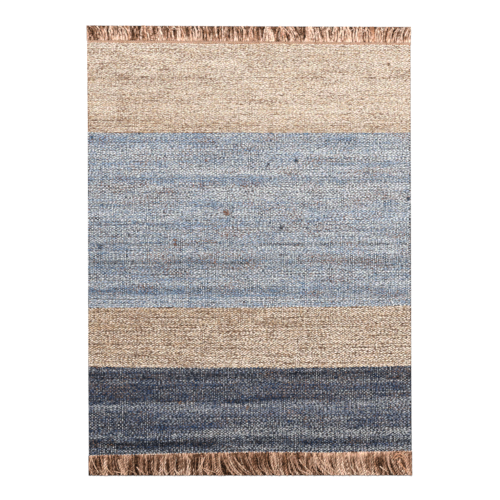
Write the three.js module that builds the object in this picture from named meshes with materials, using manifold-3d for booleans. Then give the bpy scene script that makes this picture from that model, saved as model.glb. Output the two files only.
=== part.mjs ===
// A flatweave jute rug lying flat: one woven cloth, ribbed along its length in the dyed bands, and
// at each end a twined header strip from which the warp ends run out as a fringe of locks.
// Millimetres. X runs across the rug, Y along it to the far end, and Z is up from the floor.

import * as THREE from "three";
import Module from "manifold-3d";
import { mergeVertices } from "three/addons/utils/BufferGeometryUtils.js";

// Driving dimensions of the cloth
const ribCount = 88;
const clothThickness = 5.6;
const ribHeight = 1.5;
const unevenness = 0.35;
const selvedgeThickness = 4.6;
const clearance = 0.3;

// The cloth's stations from the far edge to the near edge: the two ends of each line across the
// cloth, and the share of the full rib height there. The dyed bands have ribs, the natural none.
const clothStations = [
  { leftX: -766.0, leftY: 984, rightX: 759.5, rightY: 972, rib: 0 },
  { leftX: -764.5, leftY: 780, rightX: 760.0, rightY: 776, rib: 0 },
  { leftX: -763.0, leftY: 566, rightX: 760.5, rightY: 566, rib: 0 },
  { leftX: -763.0, leftY: 546, rightX: 760.5, rightY: 546, rib: 0.9 },
  { leftX: -762.5, leftY: 350, rightX: 761.0, rightY: 350, rib: 1 },
  { leftX: -762.0, leftY: 150, rightX: 761.5, rightY: 152, rib: 0.85 },
  { leftX: -761.5, leftY: -60, rightX: 762.0, rightY: -54, rib: 1 },
  { leftX: -761.0, leftY: -260, rightX: 762.5, rightY: -247, rib: 0.9 },
  { leftX: -761.0, leftY: -280, rightX: 762.5, rightY: -267, rib: 0 },
  { leftX: -760.5, leftY: -538, rightX: 763.5, rightY: -531, rib: 0 },
  { leftX: -760.5, leftY: -558, rightX: 763.5, rightY: -551, rib: 0.9 },
  { leftX: -760.0, leftY: -750, rightX: 765.0, rightY: -745, rib: 1 },
  { leftX: -758.0, leftY: -962, rightX: 765.5, rightY: -941, rib: 0.9 },
];

// How far the near edge of the cloth bows out past the straight line between its two corners
const nearEdgeBow = [
  { across: -766, bow: 0 },
  { across: -450, bow: -2 },
  { across: -150, bow: -2.5 },
  { across: 0, bow: -5.5 },
  { across: 230, bow: 0 },
  { across: 380, bow: 2.5 },
  { across: 680, bow: 0 },
  { across: 766, bow: 0 },
];

// The header strips: depth is how far a strip reaches out from the cloth, and the section gives
// its height at shares of that depth, once round from the corner on the floor beside the cloth
const farHeaderDepth = 15;
const nearHeaderDepth = 9;
const headerSection = [
  { depthShare: 0, height: 0 },
  { depthShare: 1, height: 0 },
  { depthShare: 1, height: 5.2 },
  { depthShare: 0.7, height: 6.6 },
  { depthShare: 0.3, height: 6.6 },
  { depthShare: 0, height: 5.2 },
];

// The fringe locks
const lockCount = 104;
const lockWidth = 10;
const lockTipWidth = 7.6;
const lockHeight = 4.6;
const lockTipHeight = 3.4;
const lockRootDepth = 5;
const lockSizeVariation = 0.12;
const cutUnevenness = 2.5;
const lockSteps = [
  { share: 0, bend: 0 },
  { share: 0.4, bend: 0.2 },
  { share: 0.75, bend: 0.6 },
  { share: 1, bend: 1 },
];

// Where the tips of a fringe are cut, and how far its locks lean to the right on their way there
const farFringe = [
  { across: -766, tipY: 1061, lean: 0 },
  { across: -730, tipY: 1061, lean: -7 },
  { across: -560, tipY: 1060, lean: 0 },
  { across: -330, tipY: 1060, lean: -4 },
  { across: -280, tipY: 1060, lean: -14 },
  { across: -200, tipY: 1059, lean: 0 },
  { across: 80, tipY: 1058, lean: 0 },
  { across: 190, tipY: 1057, lean: -26 },
  { across: 320, tipY: 1056, lean: -14 },
  { across: 420, tipY: 1056, lean: 0 },
  { across: 640, tipY: 1055, lean: 0 },
  { across: 766, tipY: 1054, lean: 3 },
];
const nearFringe = [
  { across: -766, tipY: -1059, lean: 4 },
  { across: -720, tipY: -1059, lean: 16 },
  { across: -620, tipY: -1059, lean: 6 },
  { across: -470, tipY: -1059, lean: 0 },
  { across: -260, tipY: -1059, lean: 0 },
  { across: -140, tipY: -1059, lean: 16 },
  { across: 60, tipY: -1059, lean: 36 },
  { across: 150, tipY: -1059, lean: 30 },
  { across: 280, tipY: -1059, lean: 40 },
  { across: 430, tipY: -1058, lean: 12 },
  { across: 620, tipY: -1058, lean: 8 },
  { across: 700, tipY: -1058, lean: 14 },
  { across: 766, tipY: -1058, lean: 0 },
];

const jute = new THREE.MeshStandardMaterial({ color: 0xbcae9f, roughness: 0.95, metalness: 0 });
const fringeJute = new THREE.MeshStandardMaterial({ color: 0xa5805f, roughness: 0.95, metalness: 0 });

const columns = 2 * ribCount;
const farStation = 0;
const nearStation = clothStations.length - 1;
const scatterStep = 12.9898;
const scatterReach = 43758.5453;
const mix = THREE.MathUtils.lerp;

// A steady value from -1 to 1 that looks random from one whole number to the next
function scatter(number) {
  const wave = Math.sin(number * scatterStep) * scatterReach;
  return 2 * (wave - Math.floor(wave)) - 1;
}

// A column of a table at a place across the rug, straight between the rows on either side
function readTable(table, across, column) {
  const last = table.length - 1;
  if (across <= table[0].across) return table[0][column];
  for (let row = 1; row <= last; row += 1) {
    const before = table[row - 1];
    const after = table[row];
    if (across <= after.across) {
      const share = (across - before.across) / (after.across - before.across);
      return mix(before[column], after[column], share);
    }
  }
  return table[last][column];
}

function closedGeometry(points, triangles) {
  const geometry = new THREE.BufferGeometry();
  geometry.setAttribute("position", new THREE.Float32BufferAttribute(points.flat(), 3));
  geometry.setIndex(triangles.flat());
  return geometry;
}

// The line across the cloth at a station: a point at a share of the way from left to right
function clothPoint(station, share) {
  const line = clothStations[station];
  const x = mix(line.leftX, line.rightX, share);
  const bow = station === nearStation ? readTable(nearEdgeBow, x, "bow") : 0;
  return [x, mix(line.leftY, line.rightY, share) - bow];
}

// The place of the far or near edge of the cloth, at a place across the rug
function clothEdge(station, across) {
  const line = clothStations[station];
  const share = (across - line.leftX) / (line.rightX - line.leftX);
  return clothPoint(station, share)[1];
}

function clothHeight(station, column) {
  if (column === 0 || column === columns) return selvedgeThickness;
  const onRib = column % 2;
  const lump = unevenness * scatter(station * (columns + 1) + column);
  return clothThickness + ribHeight * clothStations[station].rib * onRib + lump;
}

// The points of the cloth: on top, one on each rib and in each groove of every station, and under
// its rim the same points on the floor. Top and under hold their numbers by station and column.
function clothPoints() {
  const points = [];
  const top = clothStations.map(() => []);
  const under = clothStations.map(() => []);
  for (let station = 0; station <= nearStation; station += 1) {
    for (let column = 0; column <= columns; column += 1) {
      const [x, y] = clothPoint(station, column / columns);
      top[station][column] = points.length;
      points.push([x, y, clothHeight(station, column)]);
      if (station % nearStation === 0 || column % columns === 0) {
        under[station][column] = points.length;
        points.push([x, y, 0]);
      }
    }
  }
  return { points, top, under };
}

function topFace(top) {
  const triangles = [];
  for (let s = 0; s < nearStation; s += 1) {
    for (let c = 0; c < columns; c += 1) {
      triangles.push([top[s][c], top[s + 1][c], top[s + 1][c + 1]]);
      triangles.push([top[s][c], top[s + 1][c + 1], top[s][c + 1]]);
    }
  }
  return triangles;
}

// The flat underside: a long strip for each column, and a fan along each selvedge
function underside(under) {
  const far = under[farStation];
  const near = under[nearStation];
  const triangles = [
    [far[1], near[1], near[0]],
    [far[columns - 1], near[columns], near[columns - 1]],
  ];
  for (let c = 1; c < columns - 1; c += 1) {
    triangles.push([far[c], near[c + 1], near[c]]);
    triangles.push([far[c], far[c + 1], near[c + 1]]);
  }
  for (let s = 0; s < nearStation; s += 1) {
    triangles.push([far[1], under[s + 1][0], under[s][0]]);
    triangles.push([far[columns - 1], under[s][columns], under[s + 1][columns]]);
  }
  return triangles;
}

// The walls at the two ends and along the two selvedges
function rimWalls(top, under) {
  const far = farStation;
  const near = nearStation;
  const triangles = [];
  for (let c = 0; c < columns; c += 1) {
    triangles.push([top[far][c], top[far][c + 1], under[far][c + 1]]);
    triangles.push([top[far][c], under[far][c + 1], under[far][c]]);
    triangles.push([top[near][c], under[near][c], under[near][c + 1]]);
    triangles.push([top[near][c], under[near][c + 1], top[near][c + 1]]);
  }
  for (let s = 0; s < near; s += 1) {
    triangles.push([top[s][0], under[s][0], under[s + 1][0]]);
    triangles.push([top[s][0], under[s + 1][0], top[s + 1][0]]);
    triangles.push([top[s][columns], under[s + 1][columns], under[s][columns]]);
    triangles.push([top[s][columns], top[s + 1][columns], under[s + 1][columns]]);
  }
  return triangles;
}

// The woven ground, flat on the floor
function clothGeometry() {
  const { points, top, under } = clothPoints();
  return closedGeometry(points, [...topFace(top), ...underside(under), ...rimWalls(top, under)]);
}

const wasm = await Module();
wasm.setup();

function solidFrom(geometry) {
  const merged = mergeVertices(geometry);
  const mesh = new wasm.Mesh({
    numProp: 3,
    vertProperties: new Float32Array(merged.attributes.position.array),
    triVerts: new Uint32Array(merged.index.array),
  });
  return new wasm.Manifold(mesh);
}

function geometryFrom(solid) {
  const mesh = solid.getMesh();
  const geometry = new THREE.BufferGeometry();
  geometry.setAttribute("position", new THREE.BufferAttribute(mesh.vertProperties, 3));
  geometry.setIndex(new THREE.BufferAttribute(mesh.triVerts, 1));
  return geometry;
}

// A closed solid through rings of points with the same count, its ends closed by fans. The rings
// run anticlockwise as seen from the last ring.
function loftGeometry(rings) {
  const sides = rings[0].length;
  const triangles = [];
  for (let ring = 0; ring < rings.length - 1; ring += 1) {
    for (let side = 0; side < sides; side += 1) {
      const next = (side + 1) % sides;
      const here = ring * sides;
      const there = here + sides;
      triangles.push([here + side, here + next, there + next]);
      triangles.push([here + side, there + next, there + side]);
    }
  }
  const end = (rings.length - 1) * sides;
  for (let side = 1; side < sides - 1; side += 1) {
    triangles.push([0, side + 1, side]);
    triangles.push([end, end + side, end + side + 1]);
  }
  return closedGeometry(rings.flat(), triangles);
}

// A header strip: a low crowned band along an end of the cloth, a clearance away from it. Outward
// is 1 at the far end and -1 at the near end.
function headerGeometry(station, outward, depth) {
  const line = clothStations[station];
  const rings = nearEdgeBow.map((row) => {
    const x = THREE.MathUtils.clamp(row.across, line.leftX, line.rightX);
    const inner = clothEdge(station, x) + outward * clearance;
    const ring = headerSection.map((corner) => {
      return [x, inner + outward * depth * corner.depthShare, corner.height];
    });
    return outward > 0 ? ring : ring.reverse();
  });
  return loftGeometry(rings);
}

// One lock: a three-sided strand, flat on the floor, from inside the header to the cut line
function lockGeometry(number, station, outward, depth, fringe) {
  const line = clothStations[station];
  const rootX = mix(line.leftX, line.rightX, (number + 0.5) / lockCount);
  const rootY = clothEdge(station, rootX) + outward * (clearance + depth - lockRootDepth);
  const lean = readTable(fringe, rootX, "lean");
  const tipY = readTable(fringe, rootX, "tipY") - outward * cutUnevenness * (1 + scatter(number));
  const size = 1 + lockSizeVariation * scatter(number + lockCount);
  const rings = lockSteps.map((step) => {
    const x = rootX + lean * step.bend;
    const y = mix(rootY, tipY, step.share);
    const side = (outward * size * mix(lockWidth, lockTipWidth, step.share)) / 2;
    const height = size * mix(lockHeight, lockTipHeight, step.share);
    return [
      [x - side, y, 0],
      [x, y, height],
      [x + side, y, 0],
    ];
  });
  return loftGeometry(rings);
}

// A header with its fringe: the locks stand apart and their roots are fused into the strip
function fringeGeometry(station, outward, depth, fringe) {
  const solids = [solidFrom(headerGeometry(station, outward, depth))];
  for (let number = 0; number < lockCount; number += 1) {
    solids.push(solidFrom(lockGeometry(number, station, outward, depth, fringe)));
  }
  return geometryFrom(wasm.Manifold.union(solids));
}

function namedMesh(name, geometry, material) {
  const mesh = new THREE.Mesh(geometry, material);
  mesh.name = name;
  return mesh;
}

const rug = new THREE.Group();
rug.add(namedMesh("rug_cloth", clothGeometry(), jute));
const farFringeGeometry = fringeGeometry(farStation, 1, farHeaderDepth, farFringe);
rug.add(namedMesh("fringe_top", farFringeGeometry, fringeJute));
const nearFringeGeometry = fringeGeometry(nearStation, -1, nearHeaderDepth, nearFringe);
rug.add(namedMesh("fringe_bottom", nearFringeGeometry, fringeJute));

// The origin is on the floor under the middle of the rug
const middle = new THREE.Box3().setFromObject(rug).getCenter(new THREE.Vector3());
rug.position.set(-middle.x, -middle.y, 0);

export default rug;
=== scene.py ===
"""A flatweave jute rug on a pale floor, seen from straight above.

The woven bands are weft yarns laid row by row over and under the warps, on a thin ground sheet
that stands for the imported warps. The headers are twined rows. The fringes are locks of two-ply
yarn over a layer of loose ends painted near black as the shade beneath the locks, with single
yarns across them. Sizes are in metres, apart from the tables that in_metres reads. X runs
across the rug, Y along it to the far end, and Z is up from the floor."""

import math
from collections import namedtuple

import bpy
import numpy as np
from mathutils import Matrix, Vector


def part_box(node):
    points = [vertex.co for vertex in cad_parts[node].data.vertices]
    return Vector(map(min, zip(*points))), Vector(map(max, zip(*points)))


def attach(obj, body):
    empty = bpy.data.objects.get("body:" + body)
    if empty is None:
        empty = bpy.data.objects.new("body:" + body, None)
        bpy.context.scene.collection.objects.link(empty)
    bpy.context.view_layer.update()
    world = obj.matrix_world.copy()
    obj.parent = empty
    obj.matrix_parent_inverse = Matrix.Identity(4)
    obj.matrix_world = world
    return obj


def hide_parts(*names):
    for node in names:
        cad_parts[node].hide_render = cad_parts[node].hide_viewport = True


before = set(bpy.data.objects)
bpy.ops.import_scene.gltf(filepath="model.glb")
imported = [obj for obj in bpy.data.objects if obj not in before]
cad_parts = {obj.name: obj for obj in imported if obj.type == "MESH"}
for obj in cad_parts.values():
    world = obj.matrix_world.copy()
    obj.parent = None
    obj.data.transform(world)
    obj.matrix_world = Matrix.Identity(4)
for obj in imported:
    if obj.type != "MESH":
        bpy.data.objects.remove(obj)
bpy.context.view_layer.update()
cloth_low, cloth_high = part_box("rug_cloth")

MM = 0.001
# A metre in millimetres
METRE = 1000


def in_metres(kind, lengths, rows):
    """Rows as tuples of a kind, with their first values, lengths in millimetres, in metres."""
    return [kind(*(value / METRE for value in row[:lengths]), *row[lengths:]) for row in rows]


# How far the rug stays above zero, and the floor below it
FLOOR_GAP = 0.2 * MM

# The cloth: how many warps it has, and its size laid flat
WARPS = 176
FLAT_WIDTH = 1.524

# The ground sheet: its top, how far inside the cloth it ends, the share of the width that draws
# in for that, and its steps along each band
GROUND_TOP = 4.5 * MM
GROUND_INSET = 2 * MM
GROUND_EDGE = 0.02
GROUND_STEPS = 2

# One float of weft over a warp: how far along its period each section lies, how much of the
# yarn's rise it has, and how much of its width
FLOAT_AT = np.array([-0.31, -0.18, 0, 0.18, 0.31])
FLOAT_RISE = np.array([0, 0.78, 1, 0.78, 0])
FLOAT_SPREAD = np.array([0.75, 0.95, 1, 0.95, 0.75])
FLOAT_SLANT = FLOAT_AT / FLOAT_AT[-1]
# How high its crest lies, and its dips without relief and with all of it
CREST = 7.1 * MM
SHALLOW_DIP = 6.2 * MM
DEEP_DIP = GROUND_TOP - 0.5 * MM
# How far its edges fall, and how much further at the crest, without relief and with all of it
EDGE_FALL = 0.4 * MM
FLAT_FALL = 0.8 * MM
ROUND_FALL = 2.2 * MM
# Half its width as a share of the pitch, and what a rib adds to that and to its height
HALF_WIDTH = 0.57
RIB_WIDTH = 0.9 * MM
RIB_HEIGHT = 0.6 * MM
# Painted shade: how dark the yarn is painted in its dips, and how much darker at its edges
DIP_SHADE = 0.68
EDGE_SHADE = 0.85
# Where a yarn turns round the outermost warp: how far from the edge, and how high its edges lie
SELVEDGE_INSET = 1 * MM
SELVEDGE_REST = 0.8 * MM
# Where the edges and the middle of a yarn lie in its strip of the UV map
STRIP_AT = np.array([0.1, 0.5, 0.9])

# Chance in its length and width, its place along and across the row, its slant and its crest, and
# in how its row crowds the next
LENGTH_SPREAD = 0.1
WIDTH_SPREAD = 0.06
SLIDE_SPREAD = 1.4 * MM
PLACE_SPREAD = 0.6 * MM
SLANT_SPREAD = 1 * MM
CREST_SPREAD = 0.35 * MM
CROWD_SPREAD = 0.06
FORM_SEED = 100

# Lines across the cloth where a band ends, with the bow of each towards the near end at even
# shares of its width
Line = namedtuple("Line", "left_x left_y right_x right_y bow")
LINES = [
    Line(-0.766, 0.984, 0.7595, 0.972, (0, 0, 0, 0, 0)),
    Line(-0.763, 0.556, 0.7605, 0.556, (0, 0.001, 0, 0.001, 0)),
    Line(-0.761, -0.269, 0.7625, -0.257, (0, 0.001, 0.005, 0.004, 0)),
    Line(-0.7605, -0.547, 0.7635, -0.541, (0, 0.005, 0.006, 0.008, 0)),
    Line(-0.758, -0.962, 0.7655, -0.941, (0, -0.003, -0.006, 0.002, 0)),
]
SHIFT_X = cloth_low.x - LINES[0].left_x
SHIFT_Y = cloth_high.y - LINES[0].left_y

# The woven bands, each from start to end as shares of the way from its line to the next. Pitch is
# the distance from row to row, rib how far even rows stand proud of odd ones, relief how deep the
# yarn dips, loose how far its floats stray, tone how light it is, mottle how much that varies from
# float to float, rowed how much along and between rows, against how much a row's tone goes against
# the one before, and lined how strong the lines between the warps are
Band = namedtuple(
    "Band", "name slot line start end pitch rib relief loose tone mottle rowed against lined seed"
)
NATURAL, BLUE, INDIGO, FRINGE = "natural_jute", "pale_blue_jute", "indigo_jute", "fringe_jute"
BANDS = [
    Band("weft_natural_wide", NATURAL, 0, 0.008, 1, 5.1 * MM, 0.1, 0.41, 0.88,
         0.48, 0.06, 0.9, 0.5, 0.17, 11),
    Band("weft_blue_far", BLUE, 1, 0, 0.5, 5.9 * MM, 0.7, 0.54, 0.82,
         0.729, 0.068, 1, 0.28, 0.51, 12),
    Band("weft_blue_near", BLUE, 1, 0.5, 1, 5.6 * MM, 0.7, 0.54, 0.82,
         0.729, 0.068, 1, 0.28, 0.51, 13),
    Band("weft_natural_narrow", NATURAL, 2, 0, 1, 5.2 * MM, 0.1, 0.715, 0.5,
         0.385, 0.09, 1.6, 0.9, 0.22, 14),
    Band("weft_indigo", INDIGO, 3, 0, 1, 5.7 * MM, 0.9, 0.745, 0.85,
         0.619, 0.108, 1.6, 0.05, 0.56, 15),
]

# Smooth noise over the whole cloth: its seed, its strength, and its reach in X and Y
Noise = namedtuple("Noise", "seed strength reach_x reach_y")
WARP_SWAY = Noise(1, 2.7 * MM, 0.03, 0.3)
ROW_SWAY = Noise(2, 1.4 * MM, 0.09, 0.04)
STREAK_EDGE = Noise(5, 4 * MM, 0.12, 0.02)
LINE_PATCH = Noise(6, 1, 0.02, 0.07)
RUST_PATCH = Noise(7, 0.35, 0.1, 0.03)
HEADER_PATCH = Noise(8, 0.14, 0.03, 0.03)
TINT_PATCH = Noise(9, 0.22, 0.011, 0.01)
STREAK_GAPS = Noise(40, 0.35, 0.1, 0.006)
WARP_LOTS = [Noise(90, 0.014, 0.15, 0.5), Noise(91, 0.014, 0.05, 0.5), Noise(92, 0.014, 0.02, 0.5)]
# Noise along the yarns of a band: what it adds to the band's seed, its strength and its reach
YarnNoise = namedtuple("YarnNoise", "seed strength reach")
WIDTH_DRIFT = YarnNoise(0, 0.06, 0.07)
TONE_SHORT = YarnNoise(1, 0.043, 0.04)
TONE_LONG = YarnNoise(2, 0.04, 0.3)
TINT_LONG = YarnNoise(3, 0.22, 0.22)
TONE_SPECKS = YarnNoise(4, 1, 0.006)
TINT_SHORT = YarnNoise(5, 0.15, 0.03)
ROW_CROWD = YarnNoise(50, 0.06, 0.07)
ROW_SLIDE = YarnNoise(60, 3 * MM, 0.06)
# The drift of whole rows, and how far each row moves on in its noise
ROW_DRIFT = YarnNoise(70, 0.6, 0.14)
DRIFT_STEP = 0.01

# Chance in tone from row to row and from float to float, and in tint, and the usual tint and rust
ROW_TONE = 0.035
FLOAT_TONE = 0.8
TINT_SPREAD = 0.12
TINT_USUAL = 0.26
RUST_USUAL = 0.35
# How far even chance ranges to each side when its spread is 1
EVEN = math.sqrt(3)
# How much lighter the cloth is at its right edge than in its middle: partly painted light,
# partly uneven fading of the yarn
SIDE_LIGHT_AND_FADE = 0.065
# How much further the darkest floats stand from the rest than the lightest
DARK_TAIL = 0.3

# Uneven dye and yarn lots: streaks of weft, by the middle and half width of each, its ends, and how
# much lighter and more tinted it is. Its place in the list sets its seed. The last is no dye lot
# but painted shadow along the left edge of the indigo band
Streak = namedtuple("Streak", "y half left right tone tint", defaults=[0])
STREAKS = in_metres(Streak, 4, [
    # Natural, wide
    (965, 12, -800, 800, 0.06),
    (905, 45, -800, 0, 0.11),
    (810, 10, -800, 0, -0.1, 0.1),
    (700, 50, -550, -350, -0.06),
    (612, 18, -800, -50, -0.1, 0.05),
    (580, 20, -800, 800, -0.14, 0.05),
    # Pale blue
    (541, 8, -350, -180, -0.06, 0.78),
    (541, 6, 150, 320, -0.1, 0.78),
    (532, 15, 330, 520, 0, 0.45),
    (512, 20, -800, -150, -0.01, 0.39),
    (503, 10, -300, 0, -0.16, 0.13),
    (475, 20, -800, -100, 0.08),
    (400, 100, -800, -200, 0.06),
    (456, 20, -50, 800, 0.18),
    (426, 7, 0, 800, 0.15, -0.1),
    (405, 10, -800, -350, -0.05, 0.45),
    (405, 10, 350, 800, 0, 0.33),
    (390, 10, 100, 800, 0.18),
    (371, 10, -400, 350, 0.15, -0.49),
    (352, 8, 350, 800, 0.13),
    (334, 14, -800, 800, -0.1, 0.39),
    (312, 8, -800, 0, 0.2, 0.1),
    (296, 12, -800, -250, 0.06, -0.26),
    (296, 12, -300, 800, 0.28, -0.26),
    (262, 26, -800, -200, 0, -0.33),
    (262, 26, -200, 800, 0.11, -0.33),
    (221, 6, -800, -350, -0.22, 0.13),
    (221, 6, -350, 350, -0.06, 0.33),
    (164, 10, -800, -300, 0.13, -0.13),
    (155, 20, 250, 800, 0.36, 0.33),
    (126, 6, -800, -200, -0.1, 0.26),
    (115, 8, -400, 0, 0, 0.45),
    (108, 7, -400, 50, 0.12),
    (50, 8, -800, -350, -0.09, -0.2),
    (32, 9, -800, 800, -0.27, -0.2),
    (26, 9, 0, 420, -0.17, -0.15),
    (8, 12, -800, 0, -0.13),
    (-4, 10, 300, 800, 0.12),
    (-50, 26, -800, 800, -0.32, -0.2),
    (-83, 10, -800, 0, -0.16, 0.07),
    (-110, 16, 0, 800, 0.11, 0.05),
    (-140, 12, -550, -150, 0, 0.39),
    (-192, 24, -800, 800, -0.3, 0.13),
    (-194, 10, -800, -300, -0.05, 0.39),
    # Natural, narrow
    (-290, 16, -800, 450, -0.1, 0.1),
    (-345, 8, -800, 150, -0.09, 0.05),
    (-348, 14, 0, 420, -0.12),
    (-370, 20, -800, -500, -0.05),
    (-475, 9, -400, 450, 0.07),
    (-505, 30, -200, 800, 0.07, -0.1),
    (-525, 9, -800, -50, 0.12),
    # Indigo
    (-559, 7, -800, 500, 0.02, -0.2),
    (-571, 9, -50, 800, -0.18, -0.1),
    (-585, 14, -800, 800, -0.22, -0.2),
    (-590, 9, 350, 800, -0.1),
    (-600, 9, -800, -150, -0.17, -0.2),
    (-616, 6, -800, 100, 0.07),
    (-636, 14, -400, 800, 0.05, 0.45),
    (-650, 18, -800, -420, -0.12, 0.3),
    (-660, 26, -100, 800, -0.04, 0.2),
    (-664, 7, -800, 0, -0.12, 0.1),
    (-692, 16, -800, 450, -0.15, 0.1),
    (-703, 9, -150, 420, -0.28, -0.1),
    (-712, 8, -800, 0, -0.15),
    (-716, 8, 180, 800, 0.25, -0.1),
    (-729, 7, -800, 800, 0.17, 0.05),
    (-745, 24, -800, 800, 0.13, 0.2),
    (-762, 14, -500, 500, 0.21, 0.2),
    (-776, 18, -600, 800, 0.12, 0.35),
    (-784, 7, -450, 800, 0.18),
    (-803, 8, -450, 500, 0.12, 0.1),
    (-812, 16, 400, 800, 0, 0.3),
    (-820, 20, -600, -100, -0.04, 0.4),
    (-850, 15, -250, 800, 0.26, -0.35),
    (-868, 9, -500, 800, 0.13),
    (-880, 8, -800, -300, 0.03),
    (-886, 7, 0, 800, -0.15, -0.1),
    (-902, 13, -800, 800, -0.25, -0.2),
    (-924, 15, -800, -120, -0.34, -0.25),
    (-932, 10, -120, 800, 0.08, -0.2),
    (-946, 7, -800, 400, 0.15, -0.1),
    (-958, 6, -600, 400, 0.15),
    # Painted shadow along the left edge of the indigo band
    (-820, 140, -850, -735, -0.5),
])
# How far a streak takes to fade at its ends, and how square its sides are
STREAK_END = 60 * MM
STREAK_SIDES = 3

# Knots and burrs in the yarn: where they lie, how far they reach, how rusty and how light they are
Knot = namedtuple("Knot", "x y half rust tone")
KNOTS = in_metres(Knot, 3, [
    (220, 423, 8, 0, -2),
    (88, 404, 6, 0, -1.7),
    (-742, 534, 6, 0, -1.7),
    (149, 107, 8, 0, -1.7),
    (271, 107, 6, 0, -1.7),
    (-567, 74, 6, 0, -1.4),
    (-704, 13, 7, 0, -1.4),
    (655, 876, 7, 0, -1.3),
    (748, 244, 8, 0, -1.7),
    (-116, 182, 8, 1, -0.9),
    (-106, 176, 10, 4, 0),
    (-162, -53, 6, 4, 0),
    (-205, 423, 6, 4, 0),
    (-350, 50, 7, 3.5, 0),
    (-350, 30, 7, 2.5, -0.2),
    (-327, -717, 7, 4, 0.2),
    (-7, -736, 6, 4, 0.2),
    (262, -793, 6, 4, 0.2),
    (231, -583, 6, 0, 0.6),
])

# The headers, twined rows between the cloth and the fringe: the line of each, which way is outward,
# how many rows it has, how far out they start, how deep they are together, their tone and tint
Header = namedtuple("Header", "name line outward rows start depth tone tint seed")
FAR_HEADER = Header("header_far", 0, 1, 3, -3 * MM, 12.3 * MM, 1.09, 1, 21)
NEAR_HEADER = Header("header_near", 4, -1, 1, 0.3 * MM, 6 * MM, 0.8, 0.2, 22)
# How far a twined float slants, half its width as a share of the pitch, how high it lies, how
# far it rises, and how far its edges fall
TWINE_SLANT = 1.9 * MM
TWINE_HALF = 0.62
TWINE_REST = 4.8 * MM
TWINE_RISE = 1.7 * MM
TWINE_FALL = 1.2 * MM
# Chance in its place, width, rise and tone
TWINE_PLACE_SPREAD = 0.3 * MM
TWINE_WIDTH_SPREAD = 0.1
TWINE_RISE_SPREAD = 0.2 * MM
TWINE_TONE_SPREAD = 0.24
# Painted shade: how dark a twined float is painted in its dips, and how much darker at its
# edges as a share of that
TWINE_SHADE = 0.65
TWINE_EDGE_SHADE = 0.6

# How far the locks of a fringe lean to the right on their way, by the X of their roots
Spot = namedtuple("Spot", "x value")
FAR_STATIONS = in_metres(Spot, 2, [
    (-766, -4), (-745, -16), (-722, -36), (-700, -20), (-670, -4), (-600, -12), (-560, -26),
    (-530, -6), (-470, -14), (-430, -4), (-330, -4), (-280, -14), (-200, 0), (80, 0), (150, -4),
    (190, -36), (240, -46), (270, -6), (320, -14), (420, 0), (610, 2), (700, 16), (745, 16),
    (766, 3),
])
NEAR_STATIONS = in_metres(Spot, 2, [
    (-766, 2), (-727, 25), (-690, 4), (-640, 20), (-560, 0), (-400, 2), (-340, 6), (-250, -4),
    (-180, 4), (-142, 20), (-130, 54), (-72, 67), (-30, 50), (30, 37), (80, 40), (155, 4),
    (185, 20), (206, 64), (235, 61), (265, 10), (305, 54), (326, 94), (350, 30), (480, 6),
    (500, 30), (540, 6), (610, 2), (657, 27), (700, 40), (730, 15), (766, 0),
])
# Partings, where locks fall away to either side: the X of each and how far, and from how far off
FAR_PARTINGS = in_metres(Spot, 2, [
    (-730, 14), (-669, 7), (-631, 6), (-598, 4), (-568, 8), (-541, 8), (-512, 10), (-494, 5),
    (-447, 5), (-403, 9), (-388, 4), (-353, 9), (-287, 6), (-254, 6), (-186, 8), (-143, 8),
    (-103, 8), (-77, 5), (-56, 5), (-42, 4), (17, 8), (57, 8), (81, 3), (121, 9), (139, 4),
    (182, 7), (212, 6), (260, 7), (304, 4), (392, 5), (601, 3), (641, 6), (742, 4),
])
NEAR_PARTINGS = in_metres(Spot, 2, [
    (-746, 12), (-700, 7), (-671, 7), (-626, 7), (-560, 7), (-530, 9), (-468, 3), (-431, 9),
    (-386, 12), (-339, 6), (-301, 8), (-273, 4), (-242, 3), (-179, 9), (-139, 7), (-82, 6),
    (-61, 7), (-35, 8), (31, 11), (83, 9), (130, 4), (163, 8), (229, 10), (267, 7), (337, 12),
    (519, 8), (613, 8), (660, 7), (716, 13),
])
PARTING_REACH = 13 * MM
# Stretches of a fringe that are lighter or darker than the rest: the X of each and how much.
# Partly painted light and shade: lighter towards the right, and a painted shadow at the near
# fringe's left end
FAR_SHADES = in_metres(Spot, 1, [
    (-760, -0.24), (-740, -0.26), (-710, 0), (-620, -0.02), (-560, -0.08), (-470, -0.04),
    (-370, -0.05), (-270, 0.06), (-180, -0.06), (-80, 0), (10, 0), (110, -0.05), (200, -0.02),
    (300, 0.06), (390, 0.09), (480, 0.14), (580, 0.12), (680, 0.1), (760, 0.1),
])
NEAR_SHADES = in_metres(Spot, 1, [
    (-765, -0.35), (-748, -0.12), (-660, -0.01), (-550, -0.04), (-470, -0.07), (-370, -0.01),
    (-270, 0.02), (-180, -0.07), (-80, -0.06), (10, -0.09), (110, -0.04), (200, -0.05),
    (300, -0.05), (390, 0.13), (480, 0.19), (580, 0.05), (680, -0.02), (760, 0),
])
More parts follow.
